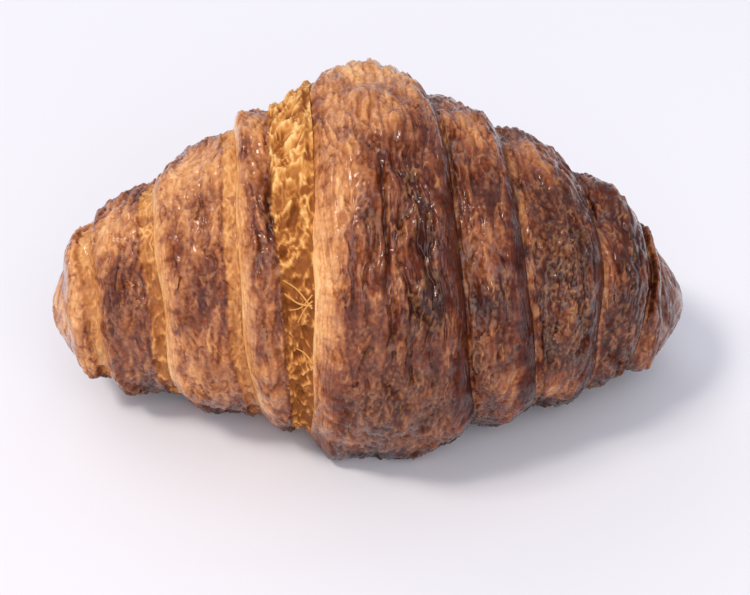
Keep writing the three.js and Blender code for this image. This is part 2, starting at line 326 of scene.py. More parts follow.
def patches(marks, s, angle):
    """Soft-edged places on the roll, each with its middle (along it, degrees around), reach and strength."""
    total = 0 * s + 0 * angle
    for along, degrees, length, spread, strength in marks:
        off = (angle - math.radians(degrees) + math.pi) % (2 * math.pi) - math.pi
        total = total + strength * np.exp(-((s - along) / length) ** 2 - (off / math.radians(spread)) ** 2)
    return total


def bulges(x, y, seed):
    """Rounded swellings with sharp creases between them, from 0 in a crease to about 1."""
    return np.minimum(1, 2.0 * np.abs(ripple(x, y, seed))) ** 0.8


def crests(x, y, seed, thin):
    """Thin sharp crests with flat basins between them, from 0 in a basin to 1 on a crest."""
    return np.clip(1 - np.abs(ripple(x, y, seed)) * thin, 0, 1)


# The crust's own forms, each with its width along the roll and its length around it: swellings, crinkles
# and lumps, cracks and splits in some places, blisters, flakes' rims and plates, and grains.
SWAY, FINE_SWAY = (6, 9), (2, 3)
SWELL, CRINKLE, LUMP = (4.2, 15), (2.0, 6.5), (1.5, 2.1)
CRACK, CRACK_PLACES = (2.3, 4.8), (4, 6)
SPLIT, SPLIT_PLACES = (1.9, 5.5), (3.5, 7)
BLISTER, BLISTERS_FROM = (2.6, 3.6), 0.66
JAG, RIMS, PLATE = (0.9, 1.1), (2.0, 2.6), (3.6, 6.0)
GRAINS, GRAINS_FROM = (0.8, 0.95), 0.35
MOOD, DRAWN_OUT = (5, 11), (1.5, 8)
FLAKY_VARIES, FLAKY_PLACES = 0.35, (6, 8)


def over(s, arc, size):
    """A place on the dough, counted in a form's own widths and lengths."""
    return s / size[0], arc / size[1]


def crust(s, arc, seed, wrinkled, flaky):
    """Baked skin: its relief in millimetres, how much browner it is for it, and its pale flakes."""
    sway = 1.5 * ripple(*over(s, arc, SWAY), seed) + 0.5 * ripple(*over(s, arc, FINE_SWAY), seed + 11)
    swell = bulges(*over(s + sway, arc, SWELL), seed + 1)
    crinkle = bulges(*over(s + 0.9 * sway, arc + sway, CRINKLE), seed + 2)
    lump = bulges(*over(s - 0.6 * sway, arc + sway, LUMP), seed + 3)
    crack = crests(*over(s - 0.6 * sway, arc + sway, CRACK), seed + 15, 9.0)
    crack = crack * smooth(3 * ripple(*over(s, arc, CRACK_PLACES), seed + 16) + 0.3)
    near, own = cells(*over(s + 0.5 * sway, arc, BLISTER), seed + 4)
    blister = np.clip(1 - (near / 0.5) ** 2, 0, 1) * (own > BLISTERS_FROM)
    jag = 0.45 * ripple(*over(s, arc, JAG), seed + 5)
    rims = crests(*over(s + jag, arc + 2 * jag, RIMS), seed + 6, 5.0)
    split = crests(*over(s + 0.5 * sway + jag, arc + jag, SPLIT), seed + 13, 8.0)
    split = split * smooth(3 * ripple(*over(s, arc, SPLIT_PLACES), seed + 14))
    plate = smooth((ripple(*over(s + jag, arc + jag, PLATE), seed + 7) + 0.12) / 0.10)
    near_grain, own_grain = cells(*over(s, arc, GRAINS), seed + 8)
    grains = np.clip(1 - (near_grain / 0.5) ** 2, 0, 1) * (own_grain > GRAINS_FROM)
    mood = ripple(*over(s, arc, MOOD), seed + 9)
    drawn_out = ripple(*over(s + 0.8 * sway, arc, DRAWN_OUT), seed + 10)
    relief = (
        wrinkled * 1.50 * (swell - 0.5)
        + (0.50 + 0.42 * wrinkled) * (crinkle - 0.5)
        + 0.15 * (lump - 0.5)
        + 0.22 * split
        - 0.22 * crack
        + 0.09 * drawn_out
        + 0.45 * blister * (1 - flaky)
        + flaky * (0.30 * rims + 0.20 * plate + 0.14 * grains)
        + 0.10 * plate
        + 0.05 * grains
    )
    # The colour follows the relief: browner in the creases and cracks, paler on splits, lump tops, grains and
    # flakes' rims. This is partly the crust's own baking, partly painted shade in the hollows and painted
    # highlight on the raised places.
    brown = (
        0.20 * mood
        + 0.26 * wrinkled * (0.5 - swell)
        + 0.17 * (0.52 - crinkle)
        + 0.10 * (0.52 - lump)
        - 0.20 * split
        + 0.26 * crack
        + 0.06 * drawn_out
        + 0.14 * blister * (own - 0.83) * 5
        + flaky * 0.12
    )
    pale = flaky * np.clip(0.6 * rims + 0.55 * grains - 0.10, 0, 1)
    pale_tops_and_glints = np.maximum(grains, smooth(3 * lump - 2.2))
    pale = pale + (1 - flaky) * 0.5 * pale_tops_and_glints * smooth(0.35 - 2.0 * drawn_out)
    pale = np.maximum(pale, 0.75 * split)
    return relief, brown, pale


# A cut edge: the dough's plies show as thin ledges, frayed where the edge meets the skin.
PLY_THICK, CUT_MARK = 0.66, 0.8


def cut_edge(distance, width, arc, seed):
    """A cut edge, by the distance in from its foot: its rise, its plies, their tone and its own share."""
    share = distance / width
    level = 0 * distance
    rise = np.sin(math.pi / 2 * np.clip(share, 0, 1)) ** 0.8
    frayed = 0.22 * ripple(arc / 3.5, level, seed + 3) + 0.10 * ripple(arc / 1.2, level, seed + 4)
    own = smooth((1.0 + 1.8 * frayed - share) / 0.75)
    sway = 0.8 * ripple(arc / 12, distance / 3, seed) + 0.25 * ripple(arc / 2.6, distance / 1.5, seed + 5)
    ply = (distance + sway) / PLY_THICK
    number = np.floor(ply)
    step = ply - number
    tone = ripple(2.3 * number + 0.5, arc / 9, seed + 1) + 0.5 * ripple(5.1 * number + 0.5, arc / 3, seed + 6)
    ledge = np.minimum(1, 5 * step) * (1 - step) ** 0.5 * (0.6 + 0.5 * tone)
    return rise, ledge, tone, own


def browned_plies(tone, ledge, brown):
    """How much browner a cut edge is, ply by ply: the hollows between the plies are darkest, partly their own
    colour and partly painted shade.
    """
    return 0.16 * tone + 0.26 * (0.4 - ledge) + 0.45 * brown


# Bare dough: large and fine films, and hollows, each with its width and its length.
FILM, FINE_FILM, HOLLOW = (2.6, 4.4), (1.2, 1.9), (2.6, 4.2)


def bare_dough(s, arc, seed):
    """Torn bare dough: the relief of its crumpled films and hollows, and how pale they are."""
    sway = 1.1 * ripple(s / 3.2, arc / 4, seed) + 0.4 * ripple(s / 1.1, arc / 1.4, seed + 6)
    film = crests(*over(s + sway, arc + sway, FILM), seed + 1, 2.6)
    fine_film = crests(*over(s - sway, arc - sway, FINE_FILM), seed + 2, 2.4)
    hollow = smooth((ripple(*over(s, arc, HOLLOW), seed + 3) - 0.10) / 0.4)
    relief = 0.9 * film + 0.35 * fine_film - 1.3 * hollow + 0.5 * ripple(s / 4, arc / 6, seed + 4)
    # The films are palest on their crests and darkest in the hollows: partly the dough's own tone, partly
    # painted highlight and painted shade.
    pale = (
        0.22
        + 0.75 * film * fine_film
        + 0.30 * fine_film
        - 0.45 * hollow
        + 0.25 * ripple(s / 3, arc / 5, seed + 5)
    )
    return relief, pale


# A turn of dough is laid as a ring of rows, closed by an inner wall that is never seen. Its first rows
# are hidden under the turn before, and both stay a little above the table.
DENSITY = 1.0
POINTS_APART, CLOSER_AT_EDGES = 0.36, 0.30
SEAM, SEAM_FADE = -math.pi / 2, math.radians(14)
HIDDEN, HIDDEN_ABOVE_TABLE = 1.8, 0.6
WALL_ROWS, WALL_BOWS = 8, 0.9
WALL_SUNK, WALL_DEEPEST, WALL_DEEPEST_SHARE = 0.5, 4.0, 0.45
WALL_ABOVE_TABLE, WALL_RISES = 0.3, 0.4
UNDERSIDE_BROWNER = 0.30


def points_of(mesh):
    """The places of a mesh's points, a row for each."""
    points = np.empty(len(mesh.vertices) * 3)
    mesh.vertices.foreach_get("co", points)
    return points.reshape(-1, 3)


def off_seam(angle):
    """Nought on the seam under the base, rising to one a little way round from it."""
    return smooth(np.abs((angle - SEAM + math.pi) % (2 * math.pi) - math.pi) / SEAM_FADE)


def underside(angle):
    """One on the base and just beside it, nought on the sides and the crest."""
    return smooth((-0.45 - np.sin(angle)) / 0.30)


def ring_of_dough(name, rows_across, radius_mm, build):
    """One turn as a closed ring: a sheet rolled around the horn's line and joined to itself both ways."""
    around = int(round(2 * math.pi * radius_mm / POINTS_APART * DENSITY))
    across = int(round(rows_across * DENSITY))
    bpy.ops.mesh.primitive_grid_add(x_subdivisions=around, y_subdivisions=across + WALL_ROWS, size=2.0)
    piece = bpy.context.object
    piece.name = name
    piece.data.name = name
    start = points_of(piece.data)
    column = np.rint((start[:, 0] + 1) / 2 * around).astype(int) % around
    row = np.rint((start[:, 1] + 1) / 2 * (across + WALL_ROWS)).astype(int) % (across + WALL_ROWS)
    angle = (SEAM + 2 * math.pi * np.arange(around) / around)[:, None]
    share = np.linspace(0, 1, across)[None, :]
    share = share - CLOSER_AT_EDGES * np.sin(2 * math.pi * share) / (2 * math.pi)
    made = build(angle, share)
    s = made["along"]
    total = made["turn"] + off_seam(angle) * made["fine"] + broad_relief(s, angle, made["turn"])
    outside = place(s, angle, total, HIDDEN_ABOVE_TABLE * made["hidden"])
    first, last = s[:, :1], s[:, -1:]
    back = ((np.arange(WALL_ROWS) + 1) / (WALL_ROWS + 1))[None, :]
    inner_s = last + (first - last) * back - np.sign(last - first) * WALL_BOWS * np.sin(math.pi * back)
    deepest = np.minimum(WALL_DEEPEST, WALL_DEEPEST_SHARE * half_depth(inner_s))
    deep = deepest * np.sin(math.pi * back) ** 0.5
    rims = np.minimum(total[:, -1:], total[:, :1])
    inside = place(inner_s, angle, rims - WALL_SUNK - deep, WALL_ABOVE_TABLE + WALL_RISES * deep)
    points = np.concatenate([outside, inside], axis=1) / 1000
    marks = np.zeros((around, across + WALL_ROWS, 4))
    for channel, key in enumerate(("brown", "cut", "bare", "pale")):
        marks[:, :across, channel] = made[key]
        marks[:, across:, channel] = np.broadcast_to(made[key][:, -1:], (around, WALL_ROWS))
    leaf = np.zeros((around, across + WALL_ROWS, 3))
    leaf[:, :across, 0] = made["from_edge"]
    leaf[:, across:, 0] = -1.0
    leaf[:, :, 1] = radius_mm * np.cos(angle)
    leaf[:, :, 2] = radius_mm * np.sin(angle)
    lay_points(piece, points[column, row], marks[column, row], leaf[column, row])
    return piece


def lay_points(piece, points, marks, leaf):
    """Moves a primitive's points to their places, keeps the marks of its baking, and closes its seams."""
    piece.data.vertices.foreach_set("co", points.ravel())
    baked = piece.data.attributes.new("baked", "FLOAT_COLOR", "POINT")
    baked.data.foreach_set("color", marks.ravel())
    leaves = piece.data.attributes.new("leaves", "FLOAT_VECTOR", "POINT")
    leaves.data.foreach_set("vector", leaf.ravel())
    piece.data.update()
    bpy.ops.object.mode_set(mode="EDIT")
    bpy.ops.mesh.select_all(action="SELECT")
    bpy.ops.mesh.remove_doubles(threshold=1e-7)
    bpy.ops.object.mode_set(mode="OBJECT")
    face_outwards(piece)


def face_outwards(piece):
    """A closed piece whose faces look in is turned the right way out."""
    bpy.ops.object.select_all(action="DESELECT")
    piece.select_set(True)
    bpy.context.view_layer.objects.active = piece
    mesh = piece.data
    mesh.calc_loop_triangles()
    corners = np.empty(len(mesh.loop_triangles) * 3, dtype=np.int64)
    mesh.loop_triangles.foreach_get("vertices", corners)
    a, b, c = points_of(mesh)[corners.reshape(-1, 3)].transpose(1, 0, 2)
    if np.einsum("ij,ij->i", a, np.cross(b, c)).sum() < 0:
        bpy.ops.object.mode_set(mode="EDIT")
        bpy.ops.mesh.select_all(action="SELECT")
        bpy.ops.mesh.flip_normals()
        bpy.ops.object.mode_set(mode="OBJECT")
    bpy.ops.object.shade_smooth()
    bpy.ops.object.select_all(action="DESELECT")


def finish_piece(piece, material):
    """Gives a piece its finish and its place in the record, as the croissant's crust."""
    piece.data.materials.clear()
    piece.data.materials.append(material)
    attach(piece, "root")
    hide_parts("croissant")


# The crust's finish: amber to brown to nearly black with baking, streaked along the cut edges, pale and
# dull where flakes stand up, yellow on bare dough, under a broken shine of baked egg wash. Its marks
# (browned, cut, bare and pale) come with each point of a piece; the browned and pale marks also carry
# painted shade and painted highlight.
SKIN_COLOURS = [
    (0.00, (0.830, 0.480, 0.200)),
    (0.18, (0.675, 0.304, 0.112)),
    (0.36, (0.425, 0.156, 0.054)),
    (0.54, (0.220, 0.058, 0.020)),
    (0.74, (0.100, 0.018, 0.006)),
    (1.00, (0.036, 0.006, 0.003)),
]
BARE_COLOURS = [
    (0.00, (0.260, 0.080, 0.018)),
    (0.40, (0.600, 0.250, 0.060)),
    (1.00, (0.860, 0.560, 0.220)),
]
FLAKE_COLOUR = (0.540, 0.255, 0.110, 1)
SPECKLE_SCALE, PIMPLE_SCALE, GLAZE_SCALE = 900.0, 1300.0, 240.0
STREAK_STRETCH = (1.7, 0.09, 0.09)
GLOSSIEST, DULLEST = 0.17, 0.60
EGG_WASH = (("From Min", 0.1), ("From Max", 0.8), ("To Min", 0.62), ("To Max", 0.0))
EGG_WASH_ROUGH, CRUST_GLOSS = 0.08, 0.10
BUMP_STRENGTH, BUMP_DEPTH = 0.40, 0.0003

crust_baked = bpy.data.materials.new("crust_baked")
crust_baked.use_nodes = True
nodes, links = crust_baked.node_tree.nodes, crust_baked.node_tree.links
shader = nodes["Principled BSDF"]


def node(kind, **settings):
    """A new node with its sockets' values or its own settings."""
    made = nodes.new(kind)
    for key, value in settings.items():
        if key in made.inputs:
            made.inputs[key].default_value = value
        else:
            setattr(made, key, value)
    return made


def sum_of(first, second, scale, add=0.0):
    """first + scale * second + add"""
    scaled = node("ShaderNodeMath", operation="MULTIPLY_ADD")
    links.new(second, scaled.inputs[0])
    scaled.inputs[1].default_value = scale
    scaled.inputs[2].default_value = add
    total = node("ShaderNodeMath", operation="ADD")
    links.new(first, total.inputs[0])
    links.new(scaled.outputs["Value"], total.inputs[1])
    return total.outputs["Value"]


def times(first, second):
    """first * second"""
    product = node("ShaderNodeMath", operation="MULTIPLY")
    links.new(first, product.inputs[0])
    links.new(second, product.inputs[1])
    return product.outputs["Value"]


def ramp(value, stops):
    """The colours of a list of stops, by a value."""
    made = node("ShaderNodeValToRGB")
    links.new(value, made.inputs["Fac"])
    elements = made.color_ramp.elements
    elements[0].position, elements[0].color = stops[0][0], (*stops[0][1], 1)
    elements[1].position, elements[1].color = stops[-1][0], (*stops[-1][1], 1)
    for at, colour in stops[1:-1]:
        elements.new(at).color = (*colour, 1)
    return made.outputs["Color"]


def mixed(factor, first, second):
    """The first colour, going over to the second by a factor."""
    made = node("ShaderNodeMix", data_type="RGBA")
    links.new(factor, made.inputs["Factor"])
    links.new(first, made.inputs["A"])
    links.new(second, made.inputs["B"])
    return made.outputs["Result"]


baked = node("ShaderNodeAttribute", attribute_name="baked")
marks = node("ShaderNodeSeparateColor")
links.new(baked.outputs["Color"], marks.inputs["Color"])
brown, cut, bare = marks.outputs["Red"], marks.outputs["Green"], marks.outputs["Blue"]
pale = baked.outputs["Alpha"]
where = node("ShaderNodeTexCoord").outputs["Object"]
along_leaves = node("ShaderNodeAttribute", attribute_name="leaves")
stretch = node("ShaderNodeMapping", vector_type="POINT", Scale=STREAK_STRETCH)
links.new(along_leaves.outputs["Vector"], stretch.inputs["Vector"])
streaks = node("ShaderNodeTexNoise", Scale=1.0, Detail=2.5, Roughness=0.55)
links.new(stretch.outputs["Vector"], streaks.inputs["Vector"])
speckle = node("ShaderNodeTexNoise", Scale=SPECKLE_SCALE, Detail=2.5, Roughness=0.55)
links.new(where, speckle.inputs["Vector"])
pimples = node("ShaderNodeTexVoronoi", feature="SMOOTH_F1", Scale=PIMPLE_SCALE, Smoothness=0.4)
links.new(where, pimples.inputs["Vector"])

toned = sum_of(brown, speckle.outputs["Fac"], 0.20, -0.10)
toned = sum_of(toned, times(streaks.outputs["Fac"], cut), 0.11)
toned = sum_of(toned, cut, -0.06)
toned = sum_of(toned, pimples.outputs["Distance"], 0.16, -0.06)
skin = ramp(toned, SKIN_COLOURS)
crumb = ramp(pale, BARE_COLOURS)
flake = node("ShaderNodeRGB")
flake.outputs["Color"].default_value = FLAKE_COLOUR
on_skin = node("ShaderNodeMath", operation="SUBTRACT", use_clamp=True)
links.new(pale, on_skin.inputs[0])
links.new(cut, on_skin.inputs[1])
flecks = sum_of(times(on_skin.outputs["Value"], speckle.outputs["Fac"]), on_skin.outputs["Value"], 0.12)
flaked = mixed(flecks, skin, flake.outputs["Color"])
links.new(mixed(bare, flaked, crumb), shader.inputs["Base Color"])

glaze_spots = node("ShaderNodeTexNoise", Scale=GLAZE_SCALE, Detail=3.0)
links.new(where, glaze_spots.inputs["Vector"])
dulled = sum_of(sum_of(bare, pale, 0.30), speckle.outputs["Fac"], 0.5, -0.25)
dulled = sum_of(sum_of(dulled, cut, 0.12), glaze_spots.outputs["Fac"], 3.4, -1.55)
dullness = node("ShaderNodeMapRange")
dullness.inputs["To Min"].default_value = GLOSSIEST
dullness.inputs["To Max"].default_value = DULLEST
links.new(dulled, dullness.inputs["Value"])
links.new(dullness.outputs["Result"], shader.inputs["Roughness"])

rough_height = sum_of(speckle.outputs["Fac"], pimples.outputs["Distance"], -0.55)
rough_height = sum_of(rough_height, times(streaks.outputs["Fac"], cut), 0.35)
bump = node("ShaderNodeBump", Strength=BUMP_STRENGTH, Distance=BUMP_DEPTH)
links.new(rough_height, bump.inputs["Height"])
links.new(bump.outputs["Normal"], shader.inputs["Normal"])
egg_wash = node("ShaderNodeMapRange")
for key, value in EGG_WASH:
    egg_wash.inputs[key].default_value = value
links.new(dulled, egg_wash.inputs["Value"])
links.new(egg_wash.outputs["Result"], shader.inputs["Coat Weight"])
shader.inputs["Coat Roughness"].default_value = EGG_WASH_ROUGH
shader.inputs["Specular IOR Level"].default_value = CRUST_GLOSS


# The lobe's own skin: wrinkled most on its front and back, browner down its right side, partly from
# baking and partly as painted shade, lighter beside its left edge high up and behind the crest, partly its
# own tone and partly painted sheen, with a dark blister low on the right, and flaky behind the crest and
# near the base. Each patch is a place along, degrees around, its reach both ways and its strength.
LOBE_ROWS, LOBE_RADIUS, LOBE_ARC = 150, 31, 36
LOBE_RISE, LOBE_CROWN = 4.0, 0.2
LOBE_WRINKLED, LOBE_BROWN = 0.24, 0.58
# The left cut edge is pale, palest high up, and the right one is dark: partly the edges' own baking, partly
# painted sheen on the left and painted shade on the right. The browner right rim is painted shade in the
# crease at the edge's foot.
LEFT_EDGE_BROWN, LEFT_EDGE_BROWNS_IN, LEFT_EDGE_BROWNS_LOW, RIGHT_EDGE_BROWN = 0.02, 0.22, 0.36, 0.82
LEFT_RIM_BROWN, RIGHT_RIM_PAINTED_SHADE, LOBE_RIM_WIDE = -0.25, 0.20, 0.55
LEFT_PLY_TALL, RIGHT_PLY_TALL = 0.14, 0.42
LOW_FROM, LOW_OVER = math.radians(25), math.radians(40)
RIGHT_EDGE_APART = 100
LOBE_WRINKLES = [(2.5, 46, 9, 28, 1.1), (0, 150, 9, 28, 0.7), (4, 10, 6, 14, 0.35)]
LOBE_FLAKES = [(3, 112, 15, 24, 0.5), (0, -8, 13, 20, 0.9), (2, 196, 14, 22, 0.8)]
# The lighter patches beside the left edge high up and behind the crest are partly the skin's own tone and
# partly painted sheen; the browner ones down the right side are partly painted shade.
LOBE_DARKER = [
    (8.5, 40, 5, 42, 0.16), (8.2, 24.5, 2.8, 6, 0.70), (0, 34, 7, 26, 0.22),
    (3, 112, 15, 28, -0.50), (0, -12, 12, 18, 0.12), (-1.6, 39, 1.5, 4.5, -0.26),
    (0.8, 32, 1.3, 3.5, -0.20), (-8, 60, 3.2, 28, -0.40), (-8, 10, 3, 22, -0.05),
    (0, 155, 9, 25, 0.10),
]
LOBE_BLISTER = [(8.2, 24.5, 2.3, 4.0, 1.6), (6.0, 26, 1.4, 2.5, 0.8)]


def lobe(angle, share):
    """The lobe's lines, relief and marks, by angle and by share of its width from the left edge."""
    left, right = foot_at(LEFT_TURNS, 0, angle), foot_at(RIGHT_TURNS, 0, angle)
    width = right - left
    fit = np.minimum(1, 0.75 * width / (LEFT_TURNS[0][3] + RIGHT_TURNS[0][3]))
    edge_left = LEFT_TURNS[0][3] * fit * edge_share(angle)
    edge_right = RIGHT_TURNS[0][3] * fit * edge_share(angle)
    s = left + width * share
    arc = angle * LOBE_ARC + 0 * share
    from_left, from_right = s - left, right - s
    rise_left, ledge_left, tone_left, own_left = cut_edge(from_left, edge_left, arc, 31)
    rise_right, ledge_right, tone_right, own_right = cut_edge(from_right, edge_right, arc, 35)
    between = np.clip((from_left - edge_left) / (width - edge_left - edge_right), 0, 1)
    crown = LOBE_CROWN * np.sin(math.pi * between)
    tall = LOBE_RISE * (0.35 + 0.65 * fit)
    wrinkled = LOBE_WRINKLED + patches(LOBE_WRINKLES, s, angle)
    flaky = patches(LOBE_FLAKES, s, angle) + FLAKY_VARIES * ripple(*over(s, arc, FLAKY_PLACES), 39)
    flaky = np.clip(flaky, 0, 1)
    skin, brown, pale = crust(s, arc, 2, wrinkled, flaky)
    cut = np.maximum(own_left, own_right)
    on_left = from_left < from_right
    ledge = np.where(on_left, ledge_left, ledge_right)
    tone = np.where(on_left, tone_left, tone_right)
    rim = np.exp(-(np.minimum(from_left, from_right) / LOBE_RIM_WIDE) ** 2)
    fade = off_seam(angle)
    skin_brown = LOBE_BROWN + fade * brown + patches(LOBE_DARKER, s, angle)
    low = smooth((LOW_FROM - angle) / LOW_OVER)
    left_brown = LEFT_EDGE_BROWN + LEFT_EDGE_BROWNS_IN * from_left / edge_left + LEFT_EDGE_BROWNS_LOW * low
    edge_brown = np.where(on_left, left_brown, RIGHT_EDGE_BROWN)
    edge_brown = edge_brown + fade * browned_plies(tone, ledge, brown)
    # On the right the rim is painted shade in the crease at the foot; on the left it is a paler rim.
    edge_brown = edge_brown + rim * np.where(on_left, LEFT_RIM_BROWN, RIGHT_RIM_PAINTED_SHADE)
    ply_tall = np.where(on_left, LEFT_PLY_TALL, RIGHT_PLY_TALL)
    return {
        "along": s,
        "turn": tall * np.minimum(rise_left, rise_right) + crown,
        "fine": (1 - 0.40 * cut) * (skin + patches(LOBE_BLISTER, s, angle)) + cut * ply_tall * ledge,
        "hidden": 0 * s,
        "brown": skin_brown * (1 - cut) + edge_brown * cut + UNDERSIDE_BROWNER * underside(angle),
        "cut": cut * CUT_MARK,
        "bare": 0 * s,
        "pale": pale * (1 - cut) * fade,
        "from_edge": np.where(on_left, from_left, RIGHT_EDGE_APART + from_right),
    }


middle_lobe = ring_of_dough("middle_lobe", LOBE_ROWS, LOBE_RADIUS, lobe)
finish_piece(middle_lobe, crust_baked)


# The turns to either side: each lies half under the one before it, and ends towards its horn in a cut
# edge. Beside the turn before, the oven has pulled out a strip of bare dough, widest left of the lobe.
GAP_OPENS, GAP_DEEP, GAP_FILLED_HIGH = 2.2, 1.3, 5.0
STRIP_DEEP, NARROW_STRIP, STRIP_FULL = 0.5, 2.0, 1.2
TURN_WRINKLED, TURN_CREST_SHARE = 0.22, 0.35
SHADED_FROM, SHADED_OVER, SHADED = math.radians(75), math.radians(45), 0.40
LEFT_STRIP_BAKED, RIGHT_STRIP_BAKED = 0.65, 0.88
LEFT_PLIES_TALL, RIGHT_PLIES_TALL = 0.24, 0.36
EDGES_APART = 20


def one_turn(turns, index, seed, browns, radius_mm, wrinkles, flakes, darker):
    """How one turn is laid: browns are its skin, its cut edge, that edge's rim (a browner rim is painted
    crease shade) and its strip of dough.
    """
    foot, _, rise_at, edge_at, bare_at = turns[index]
    browner, edge_browner, rim_tone_and_shade, bare_browner = browns
    side = 1 if foot > 0 else -1
    widest_gap = index == 1 and side < 0
    ply_tall = RIGHT_PLIES_TALL if side > 0 else LEFT_PLIES_TALL
    strip_baked = LEFT_STRIP_BAKED if side < 0 else RIGHT_STRIP_BAKED

    def build(angle, share):
        inner, outer = foot_at(turns, index - 1, angle), foot_at(turns, index, angle)
        width = np.abs(outer - inner)
        opened = bare_at + (GAP_OPENS * np.sin(angle) if widest_gap else 0)
        fit = np.minimum(1, 0.75 * width / (opened + edge_at))
        bare, edge = opened * fit, edge_at * fit * edge_share(angle)
        arc = angle * radius_mm + 0 * share
        level = 0 * arc
        at = -HIDDEN + (width + HIDDEN) * share
        s = inner + side * at

        jag = 0.5 * ripple(arc / 3.0, level, seed) + 0.35 * ripple(arc / 1.1, level, seed + 1)
        past = at - bare - jag * np.minimum(1, 0.5 * bare)
        own_bare = smooth((0.35 - past) / 0.7) * smooth((bare + 0.3) / STRIP_FULL)
        if bare_at < NARROW_STRIP:
            own_bare = own_bare * smooth((ripple(arc / 4, level, seed + 30) + 0.45) / 0.5)
        narrow = smooth((4.5 - bare_at) / 2.5)
        filled = GAP_FILLED_HIGH * smooth(2 * np.sin(angle) - 1)
        deep = (GAP_DEEP - filled) if widest_gap else STRIP_DEEP
        deep_here = deep * (1 - 0.5 * smooth(at / np.maximum(bare, 0.3)))
        in_gap = -deep_here + 1.3 * widest_gap * np.exp(-(at / 0.9) ** 2)

        crest = 1 - (1 - np.clip(past / (width - bare - edge), 0, 1)) ** (1.7 if widest_gap else 2.2)
        rise_share, ledge, tone, cut = cut_edge(width - at, edge, arc, seed + 2)
        on_turn = rise_at * (1 + TURN_CREST_SHARE * np.sin(angle)) * crest * rise_share

        wrinkled = TURN_WRINKLED + patches(wrinkles, s, angle)
        flaky = patches(flakes, s, angle) + FLAKY_VARIES * ripple(*over(s, arc, FLAKY_PLACES), seed + 3)
        flaky = np.clip(flaky, 0, 1)
        skin, brown, pale = crust(s, arc, seed + 5, wrinkled, flaky)
        crumb, crumb_pale = bare_dough(s, arc, seed + 25)
        torn = np.exp(-((past - 0.3) / 0.5) ** 2) * smooth(bare - 1)
        rim = np.exp(-((width - at) / 0.5) ** 2)
        sheltered = 0.2 + 0.8 * smooth(at / 2.4)
        crumb = 1.2 * crumb * (1 - 0.7 * narrow) * sheltered * np.minimum(1, bare / 3.5)

        fade = off_seam(angle)
        on_skin = (1 - cut) * (1 - own_bare)
        skin_brown = browner + fade * brown + patches(darker, s, angle) + 0.12 * torn
        # A browner rim at the foot of the cut edge, on the right turns, is painted shade in the crease.
        edge_brown = edge_browner + fade * browned_plies(tone, ledge, brown) + rim_tone_and_shade * rim
        strip_brown = bare_browner + 0.9 * fade * brown
        shaded = SHADED * smooth((SHADED_FROM - angle) / SHADED_OVER)
        return {
            "along": s,
            "turn": np.where(past < 0, in_gap, on_turn),
            "fine": (1 - 0.6 * cut) * (1 - own_bare) * (skin + 0.3 * torn)
                    + cut * ply_tall * ledge
                    + own_bare * (crumb + 0.6 * narrow * skin),
            "hidden": smooth(-at / 0.8),
            "brown": (skin_brown * (1 - cut) + edge_brown * cut) * (1 - own_bare * narrow)
                     + own_bare * narrow * strip_brown
                     + UNDERSIDE_BROWNER * underside(angle),
            "cut": cut * CUT_MARK,
            "bare": own_bare * (1 - strip_baked * narrow),
            "pale": np.where(own_bare > 0.5, np.clip(crumb_pale - shaded, 0, 1), pale * on_skin * fade),
            "from_edge": width - at + EDGES_APART * index,
        }
    return build


